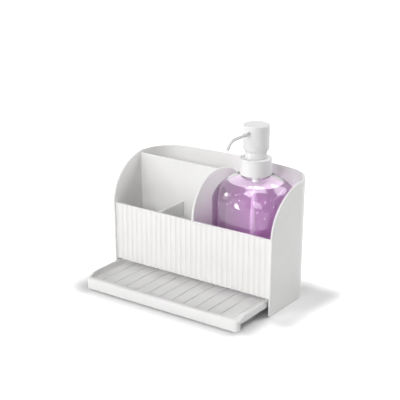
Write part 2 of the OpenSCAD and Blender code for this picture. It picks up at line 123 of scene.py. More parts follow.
# Collar, head, nozzle and spring
COLLAR_Z = 153.0
COLLAR_TOP = 173.0
COLLAR_R = 19.0
COLLAR_T = 2.6
FIT = 0.2
RUN_FIT = 0.05
SKIRT_R = 13.1
SKIRT_T = 2.0
SKIRT_LOW = 172.2
HEAD_Z = 180.3
HEAD_R = 16.0
HEAD_TOP = 213.3
BEVEL_H = 3.7
CEILING_Z = 186.0
STEM_R = 3.0
STEM_TOP = 192.0
HEAD_EDGE_R = 1.6
NOZZLE_Z = 205.1
NOZZLE_START = 9.0
NOZZLE_REACH = 46.0
NOZZLE_R = 2.2
NOZZLE_BORE_R = 1.3
BEND_R = 16.0
BEND_ANGLE = 55.0
TIP_L = 3.0
SPRING_LOW = 165.55
SPRING_HIGH = 185.95
COIL_R = 6.2
WIRE_D = 1.1
CURLS = 7


def lean_at(z):
    return LEAN * z / BACK_H


def arch_rise(t, run, rise):
    return rise * math.sqrt(max(0.0, 1 - ((run - t) / run) ** 2))


# Meshes
TINY = 1e-6
GRID_GAP = 0.7
MITRE_SHARE = 0.35


def add_piece(name, points, faces, body, replaced, material, slot, sharp=38.0):
    """Makes a smooth-shaded mesh from millimetre points and lets it ride on its body."""
    mesh = bpy.data.meshes.new(name)
    mesh.from_pydata([tuple(float(c) * MM for c in p) for p in points], [], [tuple(f) for f in faces])
    form = bmesh.new()
    form.from_mesh(mesh)
    bmesh.ops.recalc_face_normals(form, faces=form.faces)
    form.to_mesh(mesh)
    form.free()
    mesh.polygons.foreach_set("use_smooth", [True] * len(mesh.polygons))
    mesh.set_sharp_from_angle(angle=math.radians(sharp))
    mesh.materials.append(material)
    piece = bpy.data.objects.new(name, mesh)
    bpy.context.scene.collection.objects.link(piece)
    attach(piece, body)
    if replaced:
        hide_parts(replaced)
    return piece


def join_parts(*parts):
    """Puts several lists of points and faces into one."""
    points, faces = [], []
    for part_points, part_faces in parts:
        start = len(points)
        points += [tuple(p) for p in part_points]
        faces += [tuple(i + start for i in f) for f in part_faces]
    return points, faces


def loft(rings, round_trip=False):
    """Skins closed rings of equal length, end to end or as a closed chain."""
    count = len(rings[0])
    points = [tuple(p) for ring in rings for p in ring]
    faces = []
    spans = len(rings) if round_trip else len(rings) - 1
    for k in range(spans):
        low, high = k * count, ((k + 1) % len(rings)) * count
        for i in range(count):
            j = (i + 1) % count
            faces.append((low + i, low + j, high + j, high + i))
    if not round_trip:
        faces.append(tuple(range(count))[::-1])
        faces.append(tuple(range(count * (len(rings) - 1), count * len(rings))))
    return points, faces


def lathe(profile, x, y, steps=128):
    """Turns a closed chain of (radius, height) about a vertical line."""
    points, faces = [], []
    count = len(profile)
    for i in range(steps):
        turn = 2 * math.pi * i / steps
        points += [(x + r * math.cos(turn), y + r * math.sin(turn), z) for r, z in profile]
    for i in range(steps):
        a, b = i * count, ((i + 1) % steps) * count
        for k in range(count):
            m = (k + 1) % count
            if profile[k][0] < TINY and profile[m][0] < TINY:
                continue
            faces.append((a + k, b + k, b + m, a + m))
    return merged(points, faces)


def merged(points, faces, reach=1e-5):
    """Joins points at one place and drops faces that shrink to a line."""
    seen, index, kept = {}, [], []
    for p in points:
        key = tuple(round(c / reach) for c in p)
        if key not in seen:
            seen[key] = len(kept)
            kept.append(p)
        index.append(seen[key])
    out = []
    for f in faces:
        g = []
        for i in f:
            if not g or index[i] != g[-1]:
                g.append(index[i])
        if g[0] == g[-1]:
            g.pop()
        if len(g) > 2:
            out.append(tuple(g))
    return kept, out


def bend(centre, radius, first, last, steps):
    """Points of an arc in a plane, angles in degrees."""
    turns = [math.radians(first + (last - first) * i / steps) for i in range(steps + 1)]
    return [(centre[0] + radius * math.cos(t), centre[1] + radius * math.sin(t)) for t in turns]


def mitres(loop):
    """Outward mitre of each corner of an anticlockwise outline."""
    before = loop - np.roll(loop, 1, 0)
    after = np.roll(loop, -1, 0) - loop
    one = np.stack([before[:, 1], -before[:, 0]], 1) / np.linalg.norm(before, axis=1)[:, None]
    two = np.stack([after[:, 1], -after[:, 0]], 1) / np.linalg.norm(after, axis=1)[:, None]
    both = one + two
    share = np.maximum((both * one).sum(1), MITRE_SHARE)
    return both / share[:, None]


def inside_loop(points, loop):
    """Which points lie inside an outline."""
    points = np.asarray(points, float)
    hit = np.zeros(len(points), bool)
    for a, b in zip(loop, np.roll(loop, -1, 0)):
        if a[1] == b[1]:
            continue
        spans = (points[:, 1] >= min(a[1], b[1])) & (points[:, 1] < max(a[1], b[1]))
        cross = a[0] + (points[:, 1] - a[1]) * (b[0] - a[0]) / (b[1] - a[1])
        hit ^= spans & (points[:, 0] < cross)
    return hit


def inside_wall(points, loops):
    """Which points lie inside the first outline and outside the holes that follow it."""
    keep = inside_loop(points, loops[0])
    for hole in loops[1:]:
        keep &= ~inside_loop(points, hole)
    return keep


def plate(outline, thick, edge, place, holes=(), grid=(), rounds=5):
    """A wall from a flat outline, with rounded edges, laid in space by place(u, v, n)."""
    levels = bend((edge, thick / 2 - edge), edge, 90, 180, rounds)
    levels += [(inset, -height) for inset, height in levels[::-1]]
    points, faces, flat, coords, edges, sides = [], [], [], [], [], []
    for loop in [np.array(line, float) for line in (outline, *holes)]:
        start, count, out = len(points), len(loop), mitres(loop)
        for inset, height in levels:
            points += [place(u, v, height) for u, v in loop - inset * out]
        for k in range(len(levels) - 1):
            for i in range(count):
                j = (i + 1) % count
                a = start + k * count
                faces.append((a + i, a + j, a + j + count, a + i + count))
        ring = loop - levels[0][0] * out
        flat.append(ring)
        edges += [(len(coords) + i, len(coords) + (i + 1) % count) for i in range(count)]
        coords += [Vector((float(u), float(v))) for u, v in ring]
        sides += [(start + i, start + (len(levels) - 1) * count + i) for i in range(count)]
    inner = []
    if len(grid):
        grid = np.array(grid, float)
        keep = inside_wall(grid, flat)
        for ring in flat:
            far = np.sqrt(((grid[:, None, :] - ring[None, :, :]) ** 2).sum(2)).min(1)
            keep &= far > GRID_GAP
        inner = grid[keep]
    coords += [Vector((float(u), float(v))) for u, v in inner]
    sides += [(len(points) + k, len(points) + len(inner) + k) for k in range(len(inner))]
    for level in (levels[0], levels[-1]):
        points += [place(u, v, level[1]) for u, v in inner]
    done = delaunay_2d_cdt(coords, edges, [], 1, TINY, True)
    out_points, out_faces, sources = done[0], done[2], done[3]
    middles = np.array([[sum(out_points[i][c] for i in f) / len(f) for c in (0, 1)] for f in out_faces])
    for face, kept in zip(out_faces, inside_wall(middles, flat)):
        if kept:
            pairs = [sides[sources[i][0]] for i in face]
            faces.append(tuple(front for front, back in pairs))
            faces.append(tuple(back for front, back in pairs[::-1]))
    return points, faces


# Mesh spacing
FINE_STEP = 3.0
SHORT_STEP = 8.0
WALL_STEP = 9.0
WIDE_STEP = 12.0
GRID_STEP = 13.0


def spaced(first, last, step):
    """Evenly spaced numbers from first to last, at most a step apart."""
    count = max(1, int(math.ceil(abs(last - first) / step)))
    return [first + (last - first) * i / count for i in range(count + 1)]


# Materials
NOISE_SPAN = (0.3, 0.7)


def noise_factor(nodes, links, where, scale, detail=3.0):
    noise = nodes.new("ShaderNodeTexNoise")
    noise.inputs["Scale"].default_value = scale
    noise.inputs["Detail"].default_value = detail
    links.new(where.outputs["Object"], noise.inputs["Vector"])
    return noise.outputs["Fac"]


def combined(nodes, links, operation, first, second):
    """Result of a math node whose two inputs come from other nodes."""
    node = nodes.new("ShaderNodeMath")
    node.operation = operation
    links.new(first, node.inputs[0])
    links.new(second, node.inputs[1])
    return node.outputs["Value"]


def seen_rays(nodes, links):
    """One for what the camera sees, directly or by a clear or glossy surface, and zero for the rest."""
    paths = nodes.new("ShaderNodeLightPath")
    seen = paths.outputs["Is Camera Ray"]
    for other in ("Is Transmission Ray", "Is Glossy Ray"):
        seen = combined(nodes, links, "MAXIMUM", seen, paths.outputs[other])
    return seen


def mapped(nodes, links, factor, spans, smooth=False):
    """Factor taken from one range to another, both given in order."""
    node = nodes.new("ShaderNodeMapRange")
    if smooth:
        node.interpolation_type = "SMOOTHSTEP"
    for name, value in zip(("From Min", "From Max", "To Min", "To Max"), spans):
        node.inputs[name].default_value = value
    links.new(factor, node.inputs["Value"])
    return node.outputs["Result"]


def new_material(name):
    material = bpy.data.materials.new(name)
    material.use_nodes = True
    nodes, links = material.node_tree.nodes, material.node_tree.links
    shader = nodes["Principled BSDF"]
    where = nodes.new("ShaderNodeTexCoord")
    return material, nodes, links, shader, where


def vary_colour(nodes, links, shader, factor, low, high):
    ramp = nodes.new("ShaderNodeValToRGB")
    for element, position, colour in zip(ramp.color_ramp.elements, NOISE_SPAN, (low, high)):
        element.position = position
        element.color = (*colour, 1)
    links.new(factor, ramp.inputs["Fac"])
    links.new(ramp.outputs["Color"], shader.inputs["Base Color"])


def vary_rough(nodes, links, shader, factor, low, high):
    links.new(mapped(nodes, links, factor, (*NOISE_SPAN, low, high)), shader.inputs["Roughness"])


def fine_bump(nodes, links, shader, factor, strength, distance):
    bump = nodes.new("ShaderNodeBump")
    bump.inputs["Strength"].default_value = strength
    bump.inputs["Distance"].default_value = distance
    links.new(factor, bump.inputs["Height"])
    links.new(bump.outputs["Normal"], shader.inputs["Normal"])


def detailed(name, mottle, gloss, skin):
    """Material with mottled colour, uneven gloss and a fine skin.

    mottle and gloss: noise scale, low, high; skin: noise scale, noise detail, strength, distance.
    """
    material, nodes, links, shader, where = new_material(name)
    vary_colour(nodes, links, shader, noise_factor(nodes, links, where, mottle[0]), *mottle[1:])
    vary_rough(nodes, links, shader, noise_factor(nodes, links, where, gloss[0]), *gloss[1:])
    fine_bump(nodes, links, shader, noise_factor(nodes, links, where, *skin[:2]), *skin[2:])
    return material, shader


def moulded_plastic(name, low, high, rough, grain=1400.0, strength=0.12):
    """Opaque moulded plastic."""
    material, shader = detailed(name, mottle=(28.0, low, high), gloss=(90.0, rough - 0.05, rough + 0.05),
                                skin=(grain, 2.0, strength, 0.00004))
    shader.inputs["IOR"].default_value = 1.48
    return material


def pass_light(material, shader, tint):
    """Lets lamp light through a clear surface, tinted, so that it isn't a solid shadow."""
    nodes, links = material.node_tree.nodes, material.node_tree.links
    paths = nodes.new("ShaderNodeLightPath")
    clear = nodes.new("ShaderNodeBsdfTransparent")
    clear.inputs["Color"].default_value = (*tint, 1)
    mix = nodes.new("ShaderNodeMixShader")
    links.new(paths.outputs["Is Shadow Ray"], mix.inputs["Fac"])
    links.new(shader.outputs["BSDF"], mix.inputs[1])
    links.new(clear.outputs["BSDF"], mix.inputs[2])
    links.new(mix.outputs["Shader"], nodes["Material Output"].inputs["Surface"])


def clear_plastic(name, low, high, ior, rough, tint, weight=1.0, wave=60.0, strength=0.03):
    """Clear moulded plastic or liquid with slight waviness."""
    material, shader = detailed(name, mottle=(22.0, low, high), gloss=(70.0, rough, rough + 0.012),
                                skin=(wave, 1.0, strength, 0.0004))
    shader.inputs["Transmission Weight"].default_value = weight
    shader.inputs["IOR"].default_value = ior
    pass_light(material, shader, tint)
    return material


def tinted_liquid(name, ior, colour, density, tint, haze, haze_colour):
    """Clear liquid whose body takes up light and gives a little of it back as a soft glow."""
    material = clear_plastic(name, (0.89, 0.875, 0.895), (0.915, 0.9, 0.92), ior, 0.0, tint, wave=25.0,
                             strength=0.015)
    nodes, links = material.node_tree.nodes, material.node_tree.links
    body = nodes.new("ShaderNodeVolumeAbsorption")
    body.inputs["Color"].default_value = (*colour, 1)
    body.inputs["Density"].default_value = density
    soft = nodes.new("ShaderNodeVolumeScatter")
    soft.inputs["Color"].default_value = (*haze_colour, 1)
    soft.inputs["Density"].default_value = haze
    both = nodes.new("ShaderNodeAddShader")
    links.new(body.outputs["Volume"], both.inputs[0])
    links.new(soft.outputs["Volume"], both.inputs[1])
    links.new(both.outputs["Shader"], nodes["Material Output"].inputs["Volume"])
    return material


def bubble_skin_and_painted_light(name, low, high, cover):
    """Pale skin that covers part of what lies under it: the skins of the air bubbles, and a film of painted
    light on the soap.
    """
    material, shader = detailed(name, mottle=(120.0, low, high), gloss=(200.0, 0.3, 0.45),
                                skin=(900.0, 3.0, 0.2, 0.0001))
    shader.inputs["Alpha"].default_value = cover
    return material


def drawn_metal(name, low, high, rough):
    material, shader = detailed(name, mottle=(400.0, low, high), gloss=(900.0, rough, rough + 0.12),
                                skin=(2500.0, 3.0, 0.1, 0.00003))
    shader.inputs["Metallic"].default_value = 1.0
    return material


CADDY_WHITE = moulded_plastic("satin_white_plastic", (0.845, 0.84, 0.832), (0.87, 0.866, 0.858), 0.42)
TRAY_WHITE = moulded_plastic("tray_white_plastic", (0.85, 0.846, 0.838), (0.872, 0.868, 0.862), 0.38)
PUMP_WHITE = moulded_plastic("fine_white_plastic", (0.86, 0.855, 0.855), (0.88, 0.876, 0.876), 0.42,
                             900.0, 0.06)
# Painted shade: the nozzle gets a darker copy of the pump's white plastic, for the shade on its side
NOZZLE_PAINTED_SHADE = moulded_plastic("nozzle_painted_shade_plastic", (0.73, 0.727, 0.727), (0.77, 0.767, 0.767), 0.42,
                               900.0, 0.06)
SEAL_GREY = moulded_plastic("soft_grey_seal", (0.42, 0.42, 0.43), (0.5, 0.5, 0.51), 0.6)
CLEAR_BOTTLE = clear_plastic("clear_bottle_plastic", (0.975, 0.965, 0.98), (0.99, 0.985, 0.995), 1.49, 0.0,
                             (1.0, 1.0, 1.0))
TUBE_CLEAR = clear_plastic("milky_tube_plastic", (0.86, 0.8, 0.87), (0.93, 0.89, 0.94), 1.12, 0.12,
                           (0.85, 0.8, 0.87), weight=0.35)
SOAP_PURPLE = tinted_liquid("purple_soap", 1.14, (0.57, 0.08, 0.59), 9.8, (1.0, 0.92, 1.0), 0.5,
                            (1.0, 0.82, 1.0))
BUBBLE_SKIN = bubble_skin_and_painted_light("soap_bubble", (0.78, 0.6, 0.8), (0.9, 0.76, 0.92), 0.2)
# Painted light: a pale lilac film laid on the soap's surface
PAINTED_LIGHT_FILM = bubble_skin_and_painted_light("lilac_painted_light_film", (0.8, 0.62, 0.81), (0.88, 0.72, 0.89), 0.34)
STEEL = drawn_metal("bright_steel", (0.5, 0.5, 0.51), (0.62, 0.62, 0.63), 0.18)
SPRING_STEEL = drawn_metal("spring_steel", (0.42, 0.42, 0.43), (0.55, 0.55, 0.56), 0.25)


# Caddy walls: one path round the left side, the rear and the right side
SIDE_RUN = BODY_D - CORNER_R
TURN_RUN = math.pi / 2 * CORNER_R
REAR_RUN = BODY_W - 2 * CORNER_R
PATH_L = 2 * SIDE_RUN + 2 * TURN_RUN + REAR_RUN
TURN_Y = FRONT_Y + BODY_D - CORNER_R
TURN_X = BODY_W / 2 - CORNER_R


def wall_path(s, out):
    """Plan place of the wall path at s, moved outwards."""
    if s > PATH_L / 2:
        x, y = wall_path(PATH_L - s, out)
        return -x, y
    if s < SIDE_RUN:
        return -BODY_W / 2 - out, FRONT_Y + s
    if s < SIDE_RUN + TURN_RUN:
        turn = (s - SIDE_RUN) / CORNER_R
        return (-TURN_X - (CORNER_R + out) * math.cos(turn), TURN_Y + (CORNER_R + out) * math.sin(turn))
    return (s - SIDE_RUN - TURN_RUN - TURN_X, FRONT_Y + BODY_D + out)


def wall_place(s, z, n):
    x, y = wall_path(s, lean_at(z) - WALL_T / 2 + n)
    return x, y, z


def wall_top(s):
    x, y = wall_path(s, lean_at(BACK_H) - WALL_T / 2)
    rim = BACK_H - RIM_DROP * (x / INSIDE_X) ** 2
    t = y - FRONT_Y
    if t >= ARCH_RUN:
        return rim
    return min(rim, FRONT_H + arch_rise(t, ARCH_RUN, SIDE_H - FRONT_H))


def caddy_shell():
    turn_steps, arch_steps, clear_of_turn = 30, 44, 0.3
    rear_step, turn_grid, near_edge, from_edge = 6.0, 6.5, 5.0, 8.0
    turns = [SIDE_RUN + TURN_RUN * i / turn_steps for i in range(turn_steps + 1)]
    mirror = [PATH_L - s for s in turns[::-1]]
    rear = spaced(turns[-1], mirror[0], rear_step)[1:-1]
    toe = bend((TOE_R, TOE_R), TOE_R, 270, 180, 6)
    front = spaced(TOE_R, FRONT_H, SHORT_STEP)[1:-1]
    arch_s = [s for s, z in bend((ARCH_RUN, 0.0), ARCH_RUN, 180, 90, arch_steps)]
    arch_s = [s for s in arch_s if s < SIDE_RUN - clear_of_turn]
    middle = turns + rear + mirror
    low = [(s, 0.0) for s in spaced(TOE_R, SIDE_RUN, SHORT_STEP)[1:-1]]
    outline = [toe[0]] + low + [(s, 0.0) for s in middle]
    outline += [(PATH_L - s, z) for s, z in low[::-1]] + [(PATH_L - s, z) for s, z in toe]
    outline += [(PATH_L, z) for z in front]
    outline += [(PATH_L - s, wall_top(s)) for s in arch_s]
    outline += [(s, wall_top(s)) for s in middle[::-1]]
    outline += [(s, wall_top(s)) for s in arch_s[::-1]]
    outline += [(0.0, z) for z in front[::-1]] + toe[::-1][:-1]
    grid = [(s, z) for s in turns + mirror for z in spaced(near_edge, BACK_H, turn_grid)]
    grid += [(s, z) for s in rear for z in spaced(near_edge, BACK_H, GRID_STEP)]
    grid += [(s, z) for t in spaced(from_edge, SIDE_RUN - near_edge, WALL_STEP) for s in (t, PATH_L - t)
             for z in spaced(from_edge, BACK_H, GRID_STEP)]
    return plate(outline, WALL_T, RIM_EDGE, wall_place, grid=grid)


def fluted_panel():
    """Front panel whose flutes run out through its rounded top edge."""
    pitch = 2 * INSIDE_X / FLUTES
    flute_r = (pitch ** 2 / 4 + FLUTE_DEPTH ** 2) / (2 * FLUTE_DEPTH)
    steps, edge, foot, into_wall = 12, 0.9, 0.4, 2.2

    def hollow(x):
        from_middle = (x + INSIDE_X) % pitch - pitch / 2
        return max(0.0, math.sqrt(flute_r ** 2 - from_middle ** 2) - (flute_r - FLUTE_DEPTH))

    stations = [-INSIDE_X + pitch * (i + k / steps) for i in range(FLUTES) for k in range(steps)]
    columns = [(-INSIDE_X - into_wall, PANEL_Y)]
    columns += [(x, PANEL_Y + hollow(x)) for x in stations + [INSIDE_X]]
    columns += [(INSIDE_X + into_wall, PANEL_Y)]
    rings = []
    for x, y in columns:
        chain = bend((y + foot, BAY_H + foot), foot, 270, 180, 3)
        chain += [(y, z) for z in spaced(BAY_H + foot, FRONT_H - edge, WALL_STEP)[1:-1]]
        chain += bend((y + edge, FRONT_H - edge), edge, 180, 90, 6)
        chain += bend((INSIDE_Y - edge, FRONT_H - edge), edge, 90, 0, 6)
        chain += [(INSIDE_Y, z) for z in spaced(FRONT_H - edge, BAY_H, WALL_STEP)[1:]]
        rings.append([(x, v, z) for v, z in chain])
    return loft(rings)


def tall_divider():
    low, high = FLOOR_Z - SEAT, TALL_H
    left = [(-INSIDE_X - lean_at(z) - SEAT, z) for z in spaced(high, low, WIDE_STEP)]
    right = [(POCKET_X + SEAT, z) for z in spaced(low, high, WIDE_STEP)]
    base = [(x, low) for x in spaced(left[-1][0], right[0][0], WIDE_STEP)[1:-1]]
    top = [(x, high) for x in spaced(right[-1][0], left[0][0], WIDE_STEP)[1:-1]]
    middle = TALL_Y + DIVIDER_T / 2
    return plate(left + base + right + top, DIVIDER_T, DIVIDER_EDGE, lambda u, v, n: (u, middle + n, v))


def low_divider():
    low, high = FLOOR_Z - SEAT, FRONT_H
    y0, y1 = INSIDE_Y - SEAT, TALL_Y + SEAT
    outline = [(y, low) for y in spaced(y0, y1, SHORT_STEP)[:-1]]
    outline += [(y1, z) for z in spaced(low, high, SHORT_STEP)[:-1]]
    outline += [(y, high) for y in spaced(y1, y0, SHORT_STEP)[:-1]]
    outline += [(y0, z) for z in spaced(high, low, SHORT_STEP)[:-1]]
    middle = LOW_X + DIVIDER_T / 2
    return plate(outline, DIVIDER_T, DIVIDER_EDGE, lambda u, v, n: (middle + n, u, v))


def pocket_wall():
    """Wall beside the bottle: it arches up from the panel, then falls to the rear wall."""
    run = TALL_Y - PANEL_Y
    far_z = TALL_H - POCKET_DROP
    back_run = REAR_Y + lean_at(far_z) - TALL_Y
    low = FLOOR_Z - SEAT
    y0 = INSIDE_Y - SEAT
    joint = FRONT_H - 2.0
    y_end = REAR_Y + SEAT
    outline = [(y, low) for y in spaced(y0, y_end, WALL_STEP)]
    outline += [(y_end + lean_at(z), z) for z in spaced(low, far_z, WALL_STEP)[1:]]
    outline += [(TALL_Y + back_run * t, TALL_H - POCKET_DROP * t * t) for t in spaced(1.0, 0.0, 0.06)[1:-1]]
    outline += [(PANEL_Y + t, FRONT_H + arch_rise(t, run, TALL_H - FRONT_H))
                for t in [run * (1 - math.cos(math.radians(a))) for a in spaced(90, 0, 2.5)]]
    outline += [(PANEL_Y, joint)]
    outline += [(y0, z) for z in spaced(joint, low, WALL_STEP)[:-1]]
    middle = POCKET_X + DIVIDER_T / 2
    return plate(outline, DIVIDER_T, DIVIDER_EDGE, lambda u, v, n: (middle + n, u, v))


def slot_loop(x, y0, y1):
    """Outline of one drain slot, anticlockwise seen from inside the slot."""
    r = SLOT_W / 2
    return (bend((x, y0), r, 180, 360, 9) + bend((x, y1), r, 0, 180, 9))[::-1]


def drain_slots(x0, x1, y0, y1):
    room = x1 - x0 - 2 * SLOT_MARGIN - SLOT_W
    count = int(room // SLOT_PITCH) + 1
    first = (x0 + x1 - (count - 1) * SLOT_PITCH) / 2
    start = y0 + SLOT_MARGIN + SLOT_W / 2
    end = y1 - SLOT_MARGIN - SLOT_W / 2
    return [slot_loop(first + i * SLOT_PITCH, start, end) for i in range(count)]


def drain_floor():
    edge = 0.6
    x, y1, r = INSIDE_X + SEAT, REAR_Y + SEAT, CORNER_R - WALL_T + SEAT
    y0 = INSIDE_Y - SEAT
    outline = [(a, y0) for a in spaced(-x, x, WIDE_STEP)]
    outline += [(x, y) for y in spaced(y0, y1 - r, WIDE_STEP)[1:-1]]
    outline += bend((x - r, y1 - r), r, 0, 90, 15)
    outline += [(a, y1) for a in spaced(x - r, r - x, WIDE_STEP)[1:-1]]
    outline += bend((r - x, y1 - r), r, 90, 180, 15)
    outline += [(-x, y) for y in spaced(y1 - r, y0, WIDE_STEP)[1:-1]]
    slots = drain_slots(-INSIDE_X, LOW_X, INSIDE_Y, TALL_Y)
    slots += drain_slots(LOW_X + DIVIDER_T, POCKET_X, INSIDE_Y, TALL_Y)
    slots += drain_slots(-INSIDE_X, POCKET_X, TALL_Y + DIVIDER_T, REAR_Y)
    slots += drain_slots(POCKET_X + DIVIDER_T, INSIDE_X, INSIDE_Y, REAR_Y)
    middle = (BAY_H + FLOOR_Z) / 2
    return plate(outline, FLOOR_Z - BAY_H, edge, lambda u, v, n: (u, v, middle + n), holes=slots,
                 rounds=3)


# Drip tray: one path round its left side, its rear and its right side
TRAY_START_Y = TRAY_Y + LIP_D - TRAY_T
TRAY_REAR_Y = TRAY_Y + TRAY_LEN
TRAY_SIDE = TRAY_REAR_Y - TRAY_CORNER_R - TRAY_START_Y
TRAY_TURN = math.pi / 2 * TRAY_CORNER_R
TRAY_RUN = 2 * TRAY_SIDE + 2 * TRAY_TURN + 2 * (TRAY_X - TRAY_CORNER_R)
RIB_GAP = 4.5


def tray_path(s, inset):
    """Plan place on the tray's edge, from the left front round the rear to the right front."""
    if s > TRAY_RUN / 2:
        x, y = tray_path(TRAY_RUN - s, inset)
        return -x, y
    if s < TRAY_SIDE:
        return inset - TRAY_X, TRAY_START_Y + s
    if s < TRAY_SIDE + TRAY_TURN:
        turn = (s - TRAY_SIDE) / TRAY_CORNER_R
        r = TRAY_CORNER_R - inset
        return (TRAY_CORNER_R - TRAY_X - r * math.cos(turn),
                TRAY_REAR_Y - TRAY_CORNER_R + r * math.sin(turn))
    return TRAY_CORNER_R - TRAY_X + s - TRAY_SIDE - TRAY_TURN, TRAY_REAR_Y - inset


def tray_pan():
    """Floor and walls of the tray in one skin, with a fillet between them."""
    turn_steps = 24
    half = spaced(0, TRAY_SIDE, FINE_STEP)
    half += [TRAY_SIDE + TRAY_TURN * (i + 1) / turn_steps for i in range(turn_steps)]
    half += spaced(TRAY_SIDE + TRAY_TURN, TRAY_RUN / 2, SHORT_STEP)[1:]
    path = half + [TRAY_RUN - s for s in half[::-1][1:]]
    fillet, corner, edge = 2.6, 2.0, 0.9
    floor_top = TRAY_Z + TRAY_T
    deep = TRAY_T + fillet
    rim_fall = TRAY_RIM_Z - LIP_TOP_Z
    slope = 2 * rim_fall
    slope_end = TRAY_Y + LIP_D + slope
    rings = []
    for s in path:
        y = tray_path(s, TRAY_T / 2)[1]
        rim = TRAY_RIM_Z
        if y < slope_end:
            share = min(1.0, (slope_end - y) / slope)
            rim = TRAY_RIM_Z - rim_fall * share * share * (3 - 2 * share)
        chain = [(deep, TRAY_Z)]
        chain += bend((corner, TRAY_Z + corner), corner, 270, 180, 5)
        chain += [(0.0, z) for z in np.linspace(TRAY_Z + corner, rim - edge, 5)[1:-1]]
        chain += bend((edge, rim - edge), edge, 180, 90, 4)
        chain += bend((TRAY_T - edge, rim - edge), edge, 90, 0, 4)
        chain += [(TRAY_T, z) for z in np.linspace(rim - edge, floor_top + fillet, 4)[1:-1]]
        chain += bend((TRAY_T + fillet, floor_top + fillet), fillet, 180, 270, 6)
        rings.append([(*tray_path(s, inset), z) for inset, z in chain])
    points = [p for ring in rings for p in ring]
    count = len(rings[0])
    faces = []
    for k in range(len(rings) - 1):
        for i in range(count - 1):
            a, b = k * count + i, (k + 1) * count + i
            faces.append((a, a + 1, b + 1, b))
    faces.append(tuple(range(count)))
    faces.append(tuple((len(rings) - 1) * count + i for i in range(count))[::-1])
    top = [k * count + count - 1 for k in range(len(rings))]
    low = [k * count for k in range(len(rings))]
    for line, flip in ((top, False), (low, True)):
        last = len(line) - 1
        for k in range(last // 2):
            quad = (line[k], line[k + 1], line[last - k - 1], line[last - k])
            if len(set(quad)) > 3:
                faces.append(quad[::-1] if flip else quad)
            else:
                faces.append(tuple(dict.fromkeys(quad)))
    faces.append((low[0], top[0], top[-1], low[-1]))
    return points, faces


def tray_lip():
    """Hollow lip, rounded at its top front edge and at both ends."""
    end_r, inner_r, foot_r, rear_r, end_in, least_r = 4.5, 0.8, 0.6, 0.9, 2.6, 0.4
    foot_z, inner_top, round_z = LIP_Z + foot_r, LIP_TOP_Z - TRAY_T, LIP_TOP_Z - LIP_R

    def ring(front, rear, side, z):
        x = TRAY_X - side
        y0, y1 = TRAY_Y + front, TRAY_Y + LIP_D - rear
        r = max(least_r, end_r - side)
        plan = [(x, y1)] + [(x, y) for y in spaced(y1, y0 + r, 1.5)[1:-1]]
        plan += bend((x - r, y0 + r), r, 360, 270, 9)
        plan += [(u, y0) for u in spaced(x - r, r - x, WALL_STEP)[1:-1]]
        plan += bend((r - x, y0 + r), r, 270, 180, 9)
        plan += [(-x, y) for y in spaced(y0 + r, y1, 1.5)[1:-1]] + [(-x, y1)]
        plan += [(u, y1) for u in spaced(-x, x, WALL_STEP)[1:-1]]
        return [(u, v, z) for u, v in plan]

    rings = [ring(TRAY_T + inner_r, TRAY_T, TRAY_T, inner_top)]
    foot = [(TRAY_T, z) for z in spaced(inner_top - inner_r, foot_z, FINE_STEP)]
    foot += bend((TRAY_T - foot_r, foot_z), foot_r, 330, 270, 2)
    foot += bend((foot_r, foot_z), foot_r, 240, 180, 2)
    foot += [(0, z) for z in spaced(foot_z, round_z, FINE_STEP)[1:]]
    rings += [ring(d, d, d, z) for d, z in foot]
    for front, z in bend((LIP_R, round_z), LIP_R, 180, 90, 9)[1:]:
        above = max(0.0, z - (LIP_TOP_Z - rear_r))
        near = rear_r - math.sqrt(max(0.0, rear_r ** 2 - above ** 2))
        rings.append(ring(front, near, min(front, end_in), z))
    return loft(rings)


def rib_end(x):
    """Where a rib stops in front of the fillet at the tray's rear wall or corner."""
    room = TRAY_CORNER_R - TRAY_T - RIB_GAP
    beside = max(0.0, abs(x) + RIB_W - (TRAY_X - TRAY_CORNER_R))
    return TRAY_REAR_Y - TRAY_CORNER_R + math.sqrt(room ** 2 - beside ** 2)


def tray_rib(x):
    """A low rib along the tray's floor, rounded on top and at its rear end."""
    y0, y1 = TRAY_START_Y + TRAY_T / 2, rib_end(x)
    floor_top = TRAY_Z + TRAY_T
    base, top = TRAY_Z + TRAY_T / 2, floor_top + RIB_H
    half, foot, foot_h, flare, sunk = 0.4 * RIB_W, 0.3, 0.35, 0.9, 0.02
    end_run, crown_h = 2.4, 0.5
    rings = []
    for y in spaced(y0, y1 - end_run, WALL_STEP) + [y1 - end_run * k / 3 for k in (2, 1, 0)]:
        near_end = max(0.0, (y - (y1 - end_run)) / end_run)
        peak = top - RIB_H * near_end ** 2
        crown = crown_h * (1 - near_end)
        side = [(half, floor_top + foot_h * (1 - near_end)), (half + foot, floor_top + 0.3 * foot_h),
                (half + flare, floor_top - sunk), (half + flare, base)]
        chain = [(-u, z) for u, z in side[::-1]]
        chain += [(half * math.cos(math.radians(a)), peak - crown * (1 - math.sin(math.radians(a))))
                  for a in range(150, 29, -20)]
        rings.append([(x + u, y, z) for u, z in chain + side])
    return loft(rings)


def drip_tray():
    ribs = [tray_rib((i - (RIB_COUNT - 1) / 2) * RIB_PITCH) for i in range(RIB_COUNT)]
    return join_parts(tray_pan(), tray_lip(), *ribs)


# Bottle and soap
AROUND = 192
PUSH_UP = ((0.3, 0.9), (0.6, 0.8), (0.8, 0.5), (0.9, 0.0))
NECK_ROOT = ((1.8, 0.02), (0.3, 0.05))
INNER_ROOT = ((0.1, 0.1), (0.5, 0.0))
SOAP_INSET = BOTTLE_T - SOAP_OVERLAP
SOAP_CLIMB = 1.0
CLIMB_RUN = 1.1
LEAST_REACH = 0.05
SURFACE_STEPS = (0.25, 0.6, 1.1, 1.8, 2.8, 4.2, 7.0, 11.0, 16.0, 22.0)
